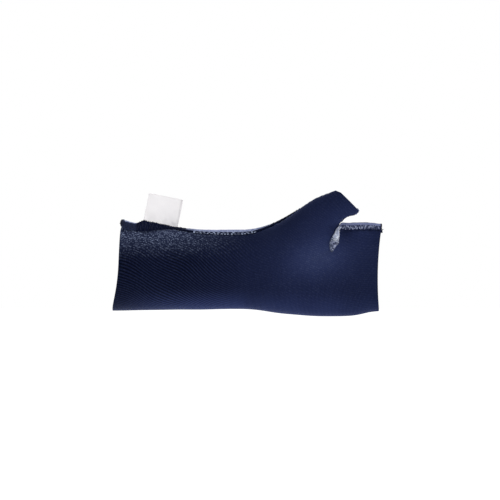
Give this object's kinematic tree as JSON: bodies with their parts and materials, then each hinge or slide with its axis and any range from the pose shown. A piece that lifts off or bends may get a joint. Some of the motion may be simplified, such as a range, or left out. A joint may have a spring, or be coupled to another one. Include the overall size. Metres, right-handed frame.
{
  "type": "wrist support glove",
  "caption": "Stretch-knit support glove in its worn form: open sleeve for forearm, wrist and palm with a short thumb stall, outside overlocked seams and a folded ribbon label.",
  "frame": {"origin": "centre of the wrist's narrowest section, where the glove sits on the wearer", "axes": "+X along the arm to the fingers, +Z to the thumb side, -Y to the palm"},
  "size_m": [0.2305, 0.0668, 0.1074],
  "materials": {
    "knit": "fine navy stretch knit with a soft sheen",
    "seam": "navy knit edge wrapped in pale overlock thread",
    "ribbon": "white satin ribbon, bare"
  },
  "bodies": {
    "root": {"glove_body": "knit", "arm_seam": "seam", "thumb_seam": "seam", "index_seam": "seam", "label": "ribbon"}
  },
  "joints": []
}
